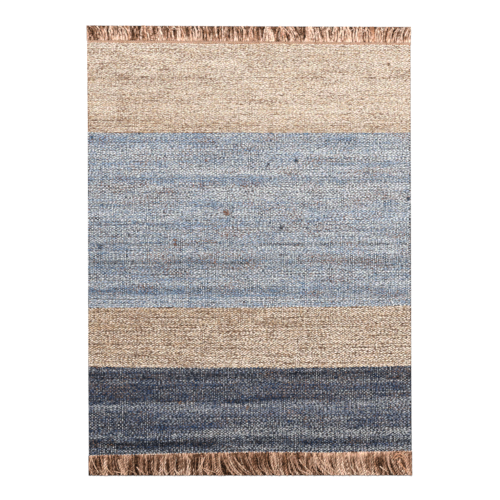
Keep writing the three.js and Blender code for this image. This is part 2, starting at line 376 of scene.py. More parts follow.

# Layers of a fringe, from the top down: how many locks, the plies twisted into each, the size
# and offset of a ply, the height that it rests at, its sections, its tone at the root, half way
# and at the tip, its tint, how far it follows the leans and partings, and how far it scatters.
# The third layer is painted darker beyond its root and the lowest near black beyond its root:
# painted shade in the gaps between the locks
Layer = namedtuple("Layer", "locks plies radius offset rest rings tones tint follows scatter")
FAR_LAYERS = [
    Layer(100, 1, 1 * MM, 0, 6.6 * MM, 20, (0.62, 0.58, 0.56), 0.3, 0.7, 2.4),
    Layer(116, 2, 2.5 * MM, 2.4 * MM, 4.2 * MM, 30, (0.67, 0.7, 0.78), 0.27, 1, 1),
    Layer(48, 2, 2.6 * MM, 2.4 * MM, 3 * MM, 24, (0.72, 0.42, 0.12), 0.44, 1, 1),
    Layer(260, 1, 5.2 * MM, 0, 0.4 * MM, 7, (0.62, 0.05, 0.03), 0.1, 0.1, 0.1),
]
# The near layers' tones are lower than the far ones': partly painted shade at the near end
NEAR_LAYERS = [
    Layer(90, 1, 1 * MM, 0, 6.6 * MM, 14, (0.4, 0.32, 0.5), 0.2, 0.7, 2.5),
    Layer(110, 2, 2.5 * MM, 2.4 * MM, 4.2 * MM, 38, (0.42, 0.44, 0.66), 0.08, 1, 0.7),
    Layer(64, 2, 2.4 * MM, 2.2 * MM, 3 * MM, 28, (0.4, 0.12, 0.34), 0.15, 1, 0.8),
    Layer(260, 1, 5.2 * MM, 0, 0.4 * MM, 7, (0.36, 0.06, 0.1), 0, 0.1, 0.1),
]
# Single yarns that cross the others, from a root to a tip
Stray = namedtuple("Stray", "root_x root_y tip_x tip_y bow tone tint")
FAR_STRAYS = in_metres(Stray, 5, [
    (-299, 993, -324, 1050, 0, 0.9, 0.2),
    (201, 1000, 163, 1048, 0, 0.85, 0.3),
    (226, 1005, 192, 1050, 0, 0.9, 0.2),
    (732, 1008, 750, 1046, 0, 0.92, 0.2),
])
NEAR_STRAYS = in_metres(Stray, 5, [
    (-744, -972, -709, -1047, 0, 0.75, 0.2),
    (-676, -1014, -646, -1052, 0, 0.7, 0.4),
    (-638, -1038, -576, -1050, 0, 0.7, 0.5),
    (-614, -985, -598, -1045, 0, 0.7, 0.2),
    (-530, -1018, -495, -1050, 0, 0.72, 0.3),
    (-352, -1030, -328, -1052, 0, 0.85, 0.1),
    (-212, -972, -245, -1038, 0, 0.75, 0.2),
    (-214, -1022, -160, -1044, 0, 0.75, 0.3),
    (-71, -972, -4, -1044, 0, 0.68, 0.2),
    (234, -981, 296, -1047, 0, 0.68, 0.2),
    (326, -970, 420, -1047, 0, 0.66, 0.3),
    (615, -1014, 655, -1042, 0, 0.9, 0.1),
    (698, -990, 752, -1040, 0, 0.62, 0.9),
    (706, -985, 745, -1046, 0, 0.58, 0.9),
    (676, -980, 754, -998, 34, 0.6, 0.9),
    (684, -984, 752, -1010, 26, 0.56, 0.9),
])
# The size and offset of a stray's plies, the height of its middle and how far its ends sag, how it
# bends, how thick its tip is as a share, and its sections
STRAY_RADIUS = 1.9 * MM
STRAY_OFFSET = 1.4 * MM
STRAY_REST = 7 * MM
STRAY_SAG = 0.35
STRAY_BEND = 1.3
STRAY_TIP = 0.7
STRAY_RINGS = 14

# The two ends of the rug: tip is the Y of the cut at the left and at the right, curl how far tips
# turn to the right on average, opening how wide the partings are at the shares OPENING_AT of a
# lock, twist the length of a turn of the plies, wave how far a lock wanders and crinkle over what
# length, mottle how much its tone varies along it, and patch how much from place to place
Ends = namedtuple(
    "Ends", "name header stations partings shades layers strays tip curl opening twist wave "
    "crinkle mottle patch seed"
)
OPENING_AT = (0, 0.25, 0.65, 1)
FAR_ENDS = Ends(
    "fringe_far", FAR_HEADER, FAR_STATIONS, FAR_PARTINGS, FAR_SHADES, FAR_LAYERS, FAR_STRAYS,
    (1.061, 1.054), 0, (0, 0.15, 0.8, 1.3), 10 * MM, 2.4 * MM, 9 * MM, 0.2, 0.12, 31,
)
NEAR_ENDS = Ends(
    "fringe_near", NEAR_HEADER, NEAR_STATIONS, NEAR_PARTINGS, NEAR_SHADES, NEAR_LAYERS, NEAR_STRAYS,
    (-1.0589, -1.0579), 5 * MM, (0, 0.6, 1, 0.4), 24 * MM, 2.4 * MM, 26 * MM, 0.05, 0.12, 32,
)
# How far inside the header a lock starts and how high, by what share of its length it is down at
# its rest, how late it leans, and from what share it curls
LOCK_ROOT = 2 * MM
ROOT_HEIGHT = 3 * MM
ROOT_FALL = 0.35
LOCK_BEND = 1.75
CURL_FROM = 0.7
# Chance in its place, as a share of the spacing, its lean, its curl, its height and its cut
ROOT_SPREAD = 0.15
LEAN_SPREAD = 3.5 * MM
CURL_SPREAD = 6 * MM
REST_SPREAD = 0.5 * MM
CUT_SPREAD = 3.6 * MM
CLUMP_LEAN = 4 * MM
CLUMP_WIDTH = 30 * MM
# The share of the width that no lock starts in at either side, and how far locks may pass the side
ROOT_MARGIN = 0.003
FRINGE_EDGE = 1 * MM
# Chance in the locks' size, within limits, tone and tint, how much thinner their tips are, how far
# their mottle and patches reach, and at what shares Layer.tones are given
SIZE_SPREAD = 0.18
SIZE_LIMITS = (0.5, 1.4)
LOCK_TONE_SPREAD = 0.13
LOCK_TINT_SPREAD = 0.8
TAPER = 0.15
MOTTLE_SIZE = 7 * MM
PATCH_SIZE = (0.022, 0.05)
TONES_AT = (0, 0.5, 1)
# The plies: their sides, how flat they lie, their shortest and longest turn as shares of twist, and
# chance in their thickness and tone
TUBE_SIDES = 6
FLATNESS = 0.7
TURN_LIMITS = (0.8, 1.4)
SWELL_SPREAD = 0.06
PLY_TONE_SPREAD = 0.12
# Painted shade: how dark the valley between two plies is painted, and below what height all is
# painted darker
VALLEY_SHADE = 0.9
SHADE_BELOW = 5 * MM
# How much of its strip of the UV map a ply takes up, and how many seeds the locks' noise has
STRIP_SHARE = 0.9
SEEDS = 1000

# Scales of fine noise along X, Y and Z: the ground's fibres, and small drifts in tint and in hue
GROUND_FIBRES = (115, 60, 60)
TINGE = (130, 170, 170)
HUE = (150, 190, 230)
# The two ends of the drifts in hue, multiplied into the colour, and how fast they change over
ROSY = (1.035, 0.94, 1.035, 1)
GREENISH = (0.965, 1.06, 0.965, 1)
HUE_GAIN = 3
# How much of the tint's colour the strongest tint has
TINT_MOST = 0.65
# How much bark the field rust adds, how crisp its edges are, and how solid it is
BARK_FOR_RUST = 0.2
BARK_CRISP = 12
BARK_MOST = 0.85
# The relief of the fibres, and the finish of yarn and ground
BUMP_STRENGTH = 0.5
BUMP_HEIGHT = 0.6 * MM
YARN_ROUGHNESS = 0.92
GROUND_ROUGHNESS = 0.95
SPECULAR = 0.1
# The imported warps of each band, from far to near: their colour, partly the band's yarn seen
# between the floats and partly painted shade in those gaps, and the flecks of bare jute in it,
# and between which levels of noise they change over
GROUNDS = [
    ("warps_natural_wide", (120, 88, 66), (190, 150, 120)),
    ("warps_blue", (46, 48, 54), (120, 100, 88)),
    ("warps_natural_narrow", (66, 46, 34), (140, 104, 80)),
    ("warps_indigo", (24, 28, 38), (84, 72, 68)),
]
GROUND_STOPS = (0.45, 0.75)
# The dyed yarns: ramp is the colour at each tone in RAMP_AT, tint the one that the field tint
# brings in, rust that of bark, shade that of the painted shade in dips, creases and low places,
# and the value after shade how strong that painted shade is. Grain, speckle and bark are scales
# of fine noise, spread is how much the first two change the tone, tinge how much the tint
# drifts, and flecked how much bark there is
Dye = namedtuple("Dye", "ramp tint rust shade deep grain speckle bark spread tinge flecked")
RAMP_AT = (0, 0.25, 0.5, 0.75, 1)
DYES = {
    NATURAL: Dye(
        ramp=[(96, 76, 64), (176, 159, 144), (227, 216, 202), (243, 233, 221), (250, 243, 233)],
        tint=(214, 181, 141), rust=(114, 74, 50), shade=(66, 40, 30), deep=0.54,
        grain=(240, 400, 400), speckle=(90, 260, 260), bark=(90, 230, 200),
        spread=0.75, tinge=3.8, flecked=0.275,
    ),
    BLUE: Dye(
        ramp=[(54, 57, 62), (120, 123, 127), (176, 178, 181), (217, 218, 219), (240, 240, 239)],
        tint=(102, 148, 190), rust=(150, 98, 68), shade=(30, 30, 34), deep=0.79,
        grain=(240, 400, 400), speckle=(240, 210, 210), bark=(120, 180, 180),
        spread=1.1, tinge=3.1, flecked=0.268,
    ),
    INDIGO: Dye(
        ramp=[(8, 9, 12), (42, 47, 57), (94, 99, 109), (151, 155, 163), (204, 204, 203)],
        tint=(24, 68, 116), rust=(140, 106, 82), shade=(4, 4, 7), deep=0.82,
        grain=(240, 400, 400), speckle=(240, 210, 210), bark=(115, 170, 170),
        spread=1.2, tinge=1.1, flecked=0.25,
    ),
    FRINGE: Dye(
        ramp=[(20, 8, 2), (92, 59, 41), (160, 125, 105), (210, 178, 157), (244, 223, 206)],
        tint=(222, 158, 118), rust=(120, 60, 32), shade=(44, 19, 6), deep=0.88,
        grain=(260, 50, 260), speckle=(210, 60, 210), bark=(120, 200, 200),
        spread=1, tinge=1.5, flecked=0.265,
    ),
}
# Same yarn as the far fringe, painted darker and flatter: partly painted shade at the near end
DYES["near_fringe"] = DYES[FRINGE]._replace(
    ramp=[(16, 6, 1), (88, 56, 38), (160, 125, 104), (200, 166, 143), (228, 202, 182)],
    tint=(214, 150, 110), shade=(30, 12, 4), deep=0.92, spread=0.65,
)

# The room: a pale floor just under the rug, a broad tilted key light, and an even fill
FLOOR_SIZE = 12
FLOOR_GREY = (0.64, 0.64, 0.64, 1)
FLOOR_ROUGHNESS = 0.9
FLOOR_SPECULAR = 0.5
KEY_STRENGTH = 3.8
KEY_BREADTH = math.radians(25)
KEY_TILT_X = math.radians(-32)
KEY_TILT_Y = math.radians(-15)
FILL_STRENGTH = 0.68

# The photo's frame: how much floor one of its pixels shows, and how far its middle lies from the
# rug's
PIXEL = 4.712 * MM
PHOTO_WIDTH = 500
VIEW_X = 2.9 * MM
VIEW_Y = 2.5 * MM
LENS = 85
SENSOR = 36


def mix(a, b, share):
    return a + (b - a) * share


def smooth(share):
    share = np.clip(share, 0, 1)
    return share * share * (3 - 2 * share)


# Noise

def field_noise(seed, x, y, reach_x, reach_y):
    """Seeded noise with a spread of about 1 that changes smoothly over its reach in X and Y, for
    places less than 2 m from the middle."""
    margin = 2.0
    u, v = (x + margin) / reach_x, (y + margin) / reach_y
    i, j = np.floor(u).astype(int), np.floor(v).astype(int)
    right, up = smooth(u - i), smooth(v - j)
    knots = np.random.default_rng(seed).normal(size=(i.max() + 2, j.max() + 2))
    low = mix(knots[i, j], knots[i + 1, j], right)
    high = mix(knots[i, j + 1], knots[i + 1, j + 1], right)
    return mix(low, high, up)


def cloth_noise(noise, x, y):
    return noise.strength * field_noise(noise.seed, x, y, noise.reach_x, noise.reach_y)


def yarn_noise(seed, row, x, reach):
    """Noise that changes smoothly along a yarn, and is new in every row."""
    return field_noise(seed, x, row + 0.0 * x, reach, 1.0)


def row_noise(band, noise, row, x):
    return noise.strength * yarn_noise(band.seed + noise.seed, row, x, noise.reach)


def new_seed(rng):
    return int(rng.integers(SEEDS))


# Meshes

def grid_faces(strips, columns, across):
    """Quads of strips of columns by across points, facing up where X is along and Y across."""
    strip, column, side = np.meshgrid(
        np.arange(strips), np.arange(columns - 1), np.arange(across - 1), indexing="ij"
    )
    corner = ((strip * columns + column) * across + side).ravel()
    return np.stack([corner, corner + across, corner + across + 1, corner + 1], 1)


def wall_faces(tubes, rings, sides):
    """Quads of the walls of tubes, facing out where rings turn anticlockwise seen from the last."""
    tube, ring, side = np.meshgrid(
        np.arange(tubes), np.arange(rings - 1), np.arange(sides), indexing="ij"
    )
    here = ((tube * rings + ring) * sides).ravel()
    side = side.ravel()
    after = (side + 1) % sides
    return np.stack([here + side, here + after, here + sides + after, here + sides + side], 1)


def tube_faces(tubes, rings):
    """Quads of closed six-sided tubes, their ends shut by two quads each."""
    start = np.arange(tubes)[:, None] * rings * TUBE_SIDES
    end = start + (rings - 1) * TUBE_SIDES
    cap = np.array([[0, 1, 2, 3], [0, 3, 4, 5]])
    caps = [start + quad[::-1] for quad in cap] + [end + quad for quad in cap]
    return np.concatenate([wall_faces(tubes, rings, TUBE_SIDES), *caps])


def new_object(name, data):
    thing = bpy.data.objects.new(name, data)
    bpy.context.scene.collection.objects.link(thing)
    return thing


def make_piece(name, points, faces, fields, flat, material):
    """A smooth mesh with float fields on its points and flat = (u, v) of its points for baking."""
    points = np.asarray(points, np.float32).reshape(-1, 3)
    mesh = bpy.data.meshes.new(name)
    mesh.vertices.add(len(points))
    mesh.vertices.foreach_set("co", points.ravel())
    mesh.loops.add(faces.size)
    mesh.loops.foreach_set("vertex_index", faces.ravel().astype(np.int32))
    mesh.polygons.add(len(faces))
    corners = faces.shape[1]
    mesh.polygons.foreach_set("loop_start", np.arange(0, faces.size, corners, dtype=np.int32))
    mesh.update(calc_edges=True)
    mesh.shade_smooth()
    for field, values in fields.items():
        attribute = mesh.attributes.new(field, "FLOAT", "POINT")
        attribute.data.foreach_set("value", np.ravel(values).astype(np.float32))
    layer = mesh.uv_layers.new(name="OFBake")
    places = np.stack([np.ravel(flat[0]), np.ravel(flat[1])], 1)[faces.ravel()]
    layer.uv.foreach_set("vector", places.astype(np.float32).ravel())
    mesh.materials.append(material)
    piece = new_object(name, mesh)
    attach(piece, "root")
    return piece


def ribbon_piece(name, centre, half, drop, looks, depths, material):
    """A piece with an arched ribbon for each row of yarn, from arrays of [row, float, section].

    Centre holds the X, Y and Z of its middle, half and drop say how far its edges lie from there
    and below it, looks holds the fields that are the same all across it, and depths how much
    painted shade it has in its middle and at its edges."""
    x, y, z = centre
    rows = x.shape[0]

    def ribbon(first, middle, last):
        lines = [np.broadcast_to(line, x.shape).reshape(rows, -1) for line in (first, middle, last)]
        return np.stack(lines, 2)

    points = np.stack([
        ribbon(x, x, x),
        ribbon(y - half, y, y + half),
        ribbon(z - drop, z, z - drop),
    ], 3)
    fields = {field: ribbon(value, value, value) for field, value in looks.items()}
    middle, edges = depths
    # The field depth holds painted shade
    fields["depth"] = ribbon(edges, middle, edges)
    along = points[..., 0]
    u = (along - along.min()) / np.ptp(along)
    v = np.broadcast_to((np.arange(rows)[:, None, None] + STRIP_AT) / rows, u.shape)
    faces = grid_faces(rows, points.shape[1], points.shape[2])
    return make_piece(name, points, faces, fields, (u, v), material)


# The cloth's own coordinates

def line_y(number, across):
    line = LINES[number]
    bow = np.interp(across, np.linspace(0, 1, len(line.bow)), line.bow)
    return mix(line.left_y, line.right_y, across) - bow + SHIFT_Y


def cloth_place(number, across, down):
    """X and Y at shares across the rug and down the band that starts at a line."""
    far, near = LINES[number], LINES[number + 1]
    left = mix(far.left_x, near.left_x, down)
    right = mix(far.right_x, near.right_x, down)
    x = mix(left, right, across) + SHIFT_X
    return x, mix(line_y(number, across), line_y(number + 1, across), down)


def line_place(number, x):
    """The Y of a line at an X of the frame."""
    line = LINES[number]
    across = (x - SHIFT_X - line.left_x) / (line.right_x - line.left_x)
    return line_y(number, across)


def streaks_at(x, y):
    """What the streaks add to tone and tint at a place, broken up along the yarns."""
    tone, tint = np.zeros_like(x), np.zeros_like(x)
    ragged = y + cloth_noise(STREAK_EDGE, x, y)
    for number, streak in enumerate(STREAKS):
        inside = smooth((x - streak.left) / STREAK_END) * smooth((streak.right - x) / STREAK_END)
        near = np.exp(-np.abs((ragged - streak.y) / streak.half) ** STREAK_SIDES)
        gaps = STREAK_GAPS._replace(seed=STREAK_GAPS.seed + number)
        strength = inside * near * np.clip(1 + cloth_noise(gaps, x, y), 0, 2)
        tone += streak.tone * strength
        tint += streak.tint * strength
    return tone, tint


def knots_at(x, y):
    """What the knots add to tone and rust at a place."""
    tone, rust = np.zeros_like(x), np.zeros_like(x)
    for knot in KNOTS:
        off = ((x - knot.x) / knot.half) ** 2 + ((y - knot.y) / knot.half) ** 2
        tone += knot.tone * np.exp(-off)
        rust += knot.rust * np.exp(-off)
    return tone, rust


# The ground sheet

def ground_sheet(materials):
    """A thin closed sheet of packed warps, a little inside the cloth's edge, in a material for
    each band."""
    across = np.linspace(0, 1, WARPS + 1)
    steps = np.linspace(0, 1, GROUND_STEPS + 1)
    lines = [
        cloth_place(number, across, down)
        for number in range(len(materials))
        for down in (steps[1:] if number else steps)
    ]
    x, y = (np.array(values) for values in zip(*lines))
    edges = [0, GROUND_EDGE, 1 - GROUND_EDGE, 1]
    x += GROUND_INSET * np.interp(across, edges, [1, 0, 0, -1])
    top = np.stack([x, y, np.full_like(x, GROUND_TOP)], 2)
    bottom = np.stack([x, y, np.full_like(x, FLOOR_GAP)], 2)[:, ::-1]
    rings = np.concatenate([top, bottom], 1)
    count, around = rings.shape[:2]
    # These rings turn clockwise, so the walls are turned over
    walls = np.roll(wall_faces(1, count, around)[:, ::-1], 1, axis=1)
    edge = np.arange(WARPS)
    cap = np.stack([edge, edge + 1, around - 2 - edge, around - 1 - edge], 1)
    last = (count - 1) * around
    faces = np.concatenate([walls, cap, last + cap[:, ::-1]])
    v, u = np.meshgrid(np.linspace(0, 1, count), np.arange(around) / around, indexing="ij")
    sheet = make_piece("rug_ground", rings, faces, {}, (u, v), materials[0])
    for other in materials[1:]:
        sheet.data.materials.append(other)
    band = walls[:, 0] // around // GROUND_STEPS
    band = np.concatenate([band, np.full(WARPS, 0), np.full(WARPS, len(materials) - 1)])
    sheet.data.polygons.foreach_set("material_index", band.astype(np.int32))
    return sheet


# The weft

def weft_rows(band):
    """The numbers of a band's rows, as an array of [row, 1, 1]."""
    far, near = LINES[band.line], LINES[band.line + 1]
    length = (far.left_y + far.right_y - near.left_y - near.right_y) / 2
    return np.arange(round(length * (band.end - band.start) / band.pitch))[:, None, None]


def weft_path(band, row, shed):
    """X and Y of the sections of a band's rows, as arrays of [row, float, section], and whether
    each is where the yarn turns down round the outermost warp."""
    rng = np.random.default_rng(band.seed)
    warp = 2 * np.arange(WARPS // 2)[:, None] + shed
    length = 1 + LENGTH_SPREAD * rng.normal(size=warp.shape)
    across = (warp + 0.5 + 2 * FLOAT_AT * length) / WARPS
    place = FLAT_WIDTH * across
    crowd = CROWD_SPREAD * rng.normal(size=row.shape) + row_noise(band, ROW_CROWD, row, place)
    drift = row_noise(band, ROW_DRIFT, 0, DRIFT_STEP * row)
    drift = drift * np.sin(math.pi * (row + 0.5) / row.size) ** 0.5
    down = mix(band.start, band.end, (row + 0.5 + crowd + drift) / row.size)
    x, y = cloth_place(band.line, across, down)
    x = x + cloth_noise(WARP_SWAY, x, y)
    x = x + band.loose * row_noise(band, ROW_SLIDE, row, place)
    x = x + band.loose * SLIDE_SPREAD * rng.normal(size=warp.shape)
    left = cloth_place(band.line, 0, down)[0] + SELVEDGE_INSET
    right = cloth_place(band.line, 1, down)[0] - SELVEDGE_INSET
    turned = (x < left) | (x > right)
    x = np.clip(x, left, right)
    y = y + cloth_noise(ROW_SWAY, x, y)
    y = y + PLACE_SPREAD * rng.normal(size=warp.shape)
    y = y + SLANT_SPREAD * rng.normal(size=warp.shape) * FLOAT_SLANT
    return x, y, turned


def weft_tone(band, row, x, y, rng):
    """How light a band's yarns are, apart from streaks and knots."""
    own = band.rowed * ROW_TONE * rng.normal(size=row.shape)
    own = own + band.rowed * row_noise(band, TONE_SHORT, row, x)
    own = own + band.mottle * row_noise(band, TONE_SPECKS, row, x)
    own = own + band.mottle * FLOAT_TONE * rng.uniform(-EVEN, EVEN, x.shape[:2] + (1,))
    own = own - band.against * np.roll(own, 1, axis=0)
    own = own - DARK_TAIL * (own ** 2 / np.mean(own ** 2) - 1) * np.std(own)
    tone = band.tone + own + band.rowed * row_noise(band, TONE_LONG, row, x)
    # Partly painted light, partly uneven fading: lighter towards the right edge
    tone = tone + SIDE_LIGHT_AND_FADE * x / (FLAT_WIDTH / 2)
    gap = np.cos(2 * math.pi * (x - SHIFT_X - LINES[0].left_x) * WARPS / FLAT_WIDTH)
    tone = tone - band.lined * gap * cloth_noise(LINE_PATCH, x, y)
    for lot in WARP_LOTS:
        tone = tone + cloth_noise(lot, x, y)
    return tone


def weft_tint(band, row, x, y, rng):
    """How tinted a band's yarns are, apart from streaks."""
    tint = TINT_USUAL + row_noise(band, TINT_LONG, row, x) + row_noise(band, TINT_SHORT, row, x)
    tint = tint + cloth_noise(TINT_PATCH, x, y)
    return tint + TINT_SPREAD * rng.normal(size=x.shape[:2] + (1,))


def weft_band(band, material):
    """The weft yarns of a band, each an arched ribbon that floats over every second warp."""
    row = weft_rows(band)
    shed = row % 2
    rib = band.rib * (1 - 2 * shed)
    x, y, turned = weft_path(band, row, shed)
    one = x.shape[:2] + (1,)
    rng = np.random.default_rng(band.seed + FORM_SEED)
    fat = 1 + WIDTH_SPREAD * rng.normal(size=one) + row_noise(band, WIDTH_DRIFT, row, x)
    half = (HALF_WIDTH * band.pitch + RIB_WIDTH * rib) * fat * FLOAT_SPREAD
    crest = CREST + RIB_HEIGHT * rib + CREST_SPREAD * rng.normal(size=one)
    dip = mix(SHALLOW_DIP, DEEP_DIP, band.relief)
    drop = EDGE_FALL + mix(FLAT_FALL, ROUND_FALL, band.relief) * FLOAT_RISE * fat
    z = np.where(turned, SELVEDGE_REST + drop, mix(dip, crest, FLOAT_RISE))

    streak_tone, streak_tint = streaks_at(x, y)
    knot_tone, knot_rust = knots_at(x, y)
    tone = weft_tone(band, row, x, y, rng) + streak_tone + knot_tone
    tint = weft_tint(band, row, x, y, rng) + streak_tint
    rust = np.clip(RUST_USUAL + cloth_noise(RUST_PATCH, x, y), 0, 1) + knot_rust
    looks = {"tone": tone, "tint": np.clip(tint, 0, 1), "rust": rust}
    # Painted shade in the yarn's dips, and more of it at its edges, carried in the field depth
    dip_shade = DIP_SHADE * (1 - FLOAT_RISE)
    depths = (dip_shade, np.clip(dip_shade + EDGE_SHADE, 0, 1))
    return ribbon_piece(band.name, (x, y, z), half, drop, looks, depths, material)


# The headers

def header_rows(header, material):
    """Twined rows: short slanting floats over every warp, side by side along the cloth's end."""
    rng = np.random.default_rng(header.seed)
    row = np.arange(header.rows)[:, None, None]
    one = (header.rows, WARPS, 1)
    pitch = header.depth / header.rows
    line = LINES[header.line]
    across = (np.arange(WARPS)[:, None] + 0.5 + FLOAT_AT + 0.5 * (row % 2)) / WARPS
    x = mix(line.left_x, line.right_x, np.clip(across, 0, 1)) + SHIFT_X
    y = line_place(header.line, x) + header.outward * (header.start + pitch * (row + 0.5))
    y = y + TWINE_SLANT * FLOAT_SLANT + TWINE_PLACE_SPREAD * rng.normal(size=one)
    half = TWINE_HALF * pitch * FLOAT_SPREAD * (1 + TWINE_WIDTH_SPREAD * rng.normal(size=one))
    rise = TWINE_RISE + TWINE_RISE_SPREAD * rng.normal(size=one)
    z = TWINE_REST + rise * FLOAT_RISE
    tone = header.tone + TWINE_TONE_SPREAD * rng.normal(size=one) + cloth_noise(HEADER_PATCH, x, y)
    looks = {"tone": tone, "tint": header.tint, "rust": 0.0}
    # Painted shade in the dips of the twined floats, and more of it at their edges
    dip_shade = 1 - FLOAT_RISE
    depths = (TWINE_SHADE * dip_shade, TWINE_SHADE * np.clip(dip_shade + TWINE_EDGE_SHADE, 0, 1))
    return ribbon_piece(header.name, (x, y, z), half, TWINE_FALL, looks, depths, material)


# The fringes

def lean_at(ends, x):
    """How far the locks lean to the right at an X, each clump of them a little differently."""
    lean = np.interp(x - SHIFT_X, *zip(*ends.stations))
    return lean + CLUMP_LEAN * yarn_noise(ends.header.seed, 0, x, CLUMP_WIDTH)


def push_at(ends, x):
    """How far the partings push locks aside."""
    push = 0 * x
    for parting, half in ends.partings:
        off = x - parting - SHIFT_X
        side = np.where(off < 0, -1, 1)
        push = push + half * side * np.exp(-np.abs(off) / PARTING_REACH)
    return push


def lock_path(ends, layer, rng):
    """Centre lines from inside the header to the cut, as arrays of [lock, ring, xyz]."""
    header, locks = ends.header, layer.locks
    line = LINES[header.line]
    one = (locks, 1)
    t = np.linspace(0, 1, layer.rings)
    share = (np.arange(locks) + 0.5 + ROOT_SPREAD * rng.normal(size=locks))[:, None] / locks
    inner = np.clip(share, ROOT_MARGIN, 1 - ROOT_MARGIN)
    root_x = mix(line.left_x, line.right_x, inner) + SHIFT_X
    root_y = line_place(header.line, root_x)
    root_y = root_y + header.outward * (header.start + header.depth - LOCK_ROOT)
    short = layer.scatter * CUT_SPREAD * rng.uniform(size=one)
    tip_y = mix(*ends.tip, share) + SHIFT_Y - header.outward * short
    y = mix(root_y, tip_y, t)
    bend = t ** LOCK_BEND
    opening = np.interp(t, OPENING_AT, ends.opening)
    led = lean_at(ends, root_x) * bend + push_at(ends, root_x) * opening
    wave = yarn_noise(new_seed(rng), np.arange(locks)[:, None], y, ends.crinkle)
    loose = LEAN_SPREAD * rng.normal(size=one) * bend + ends.wave * t * wave
    curl = ends.curl + CURL_SPREAD * rng.normal(size=one)
    loose = loose + curl * smooth((t - CURL_FROM) / (1 - CURL_FROM))
    x = root_x + layer.follows * led + layer.scatter * loose
    room = layer.radius + layer.offset - FRINGE_EDGE
    x = np.clip(x, line.left_x + SHIFT_X + room, line.right_x + SHIFT_X - room)
    rest = layer.rest + REST_SPREAD * rng.normal(size=one)
    z = mix(ROOT_HEIGHT, rest, smooth(t / ROOT_FALL))
    return np.stack([x, y, z], 2)


def swept_tubes(centre, radius):
    """Tubes around centre lines, a little flattened, with the seam underneath."""
    tangent = np.gradient(centre, axis=1)
    level = np.stack([-tangent[..., 1], tangent[..., 0], 0 * tangent[..., 0]], 2)
    level /= np.linalg.norm(level, axis=2, keepdims=True)
    up = np.array([0, 0, 1.0])
    angle = 2 * math.pi * (np.arange(TUBE_SIDES) + 0.5) / TUBE_SIDES - math.pi / 2
    ring = level[:, :, None] * np.cos(angle)[:, None]
    ring = ring + FLATNESS * up * np.sin(angle)[:, None]
    tubes = centre[:, :, None] + radius[:, :, None, None] * ring
    tubes[..., 2] = np.maximum(tubes[..., 2], FLOOR_GAP)
    return tubes


def tube_piece(name, groups, material):
    """One piece from groups of tubes, each (points, fields) with points [tube, ring, side, xyz]."""
    points, faces, fields, us, vs = [], [], {}, [], []
    tubes = sum(len(shape) for shape, _ in groups)
    around = np.arange(TUBE_SIDES) / TUBE_SIDES * STRIP_SHARE
    start = done = 0
    for shape, values in groups:
        count, rings = shape.shape[:2]
        blank = np.zeros(shape.shape[:3])
        points.append(shape.reshape(-1, 3))
        faces.append(tube_faces(count, rings) + start)
        for field, value in values.items():
            fields.setdefault(field, []).append((blank + value).ravel())
        tube = np.arange(count)[:, None, None] + done
        us.append((blank + np.linspace(0, 1, rings)[:, None]).ravel())
        vs.append((blank + (tube + around) / tubes).ravel())
        start += blank.size
        done += count
    points, faces = np.concatenate(points), np.concatenate(faces)
    fields = {field: np.concatenate(values) for field, values in fields.items()}
    flat = (np.concatenate(us), np.concatenate(vs))
    return make_piece(name, points, faces, fields, flat, material)


def twisted(path, plies, radius, offset, twist, tone, tint, rng):
    """Plies twisted round centre lines, as groups of tubes, from arrays of [lock, ring]."""
    one = (path.shape[0], 1)
    along = np.linalg.norm(np.diff(path, axis=1, prepend=path[:, :1]), axis=2).cumsum(1)
    turns = along / (twist * rng.uniform(*TURN_LIMITS, one)) + rng.uniform(size=one)
    groups = []
    for ply in range(plies):
        phase = 2 * math.pi * turns + ply * math.pi
        centre = path.copy()
        centre[..., 0] += offset * np.cos(phase)
        centre[..., 2] += FLATNESS * offset * np.sin(phase)
        swell = 1 + SWELL_SPREAD * rng.normal(size=path.shape[:2])
        tubes = swept_tubes(centre, radius * swell)
        away = tubes - centre[:, :, None]
        inward = -np.cos(phase)[..., None] * away[..., 0] - np.sin(phase)[..., None] * away[..., 2]
        # Painted shade in the valley between the plies, and more of it towards the floor
        valley_shade = np.clip(inward / np.mean(radius), 0, 1) if plies > 1 else 0
        low = np.clip(1 - tubes[..., 2] / SHADE_BELOW, 0, 1)
        groups.append((tubes, {
            "tone": (tone + PLY_TONE_SPREAD * rng.normal(size=one))[..., None],
            "tint": tint[..., None],
            "rust": 0.0,
            "depth": np.clip(low + VALLEY_SHADE * valley_shade, 0, 1),
        }))
    return groups


def lock_group(ends, layer, rng):
    """The locks of one layer, each of one yarn or of two plies."""
    one = (layer.locks, 1)
    t = np.linspace(0, 1, layer.rings)
    path = lock_path(ends, layer, rng)
    x, y = path[..., 0], path[..., 1]
    mottle = yarn_noise(new_seed(rng), np.arange(layer.locks)[:, None], y, MOTTLE_SIZE)
    patch = field_noise(ends.seed, x, y, *PATCH_SIZE)
    size = np.clip(1 + SIZE_SPREAD * layer.follows * rng.normal(size=one), *SIZE_LIMITS)
    fray = rng.uniform(size=one) ** 2
    # Partly painted light and shade from the fringe's stretches, and painted shade in lower layers
    tone = np.interp(t, TONES_AT, layer.tones) + np.interp(x, *zip(*ends.shades))
    tone = tone + ends.mottle * mottle + ends.patch * patch
    tone = tone + LOCK_TONE_SPREAD * layer.scatter * rng.normal(size=one)
    tint = np.clip(layer.tint * (1 + LOCK_TINT_SPREAD * rng.normal(size=one)), 0, 1)
    radius = layer.radius * size * (1 - TAPER * layer.follows * t)
    offset = layer.offset * size * (1 + fray * t ** 2)
    return twisted(path, layer.plies, radius, offset, ends.twist, tone, tint, rng)


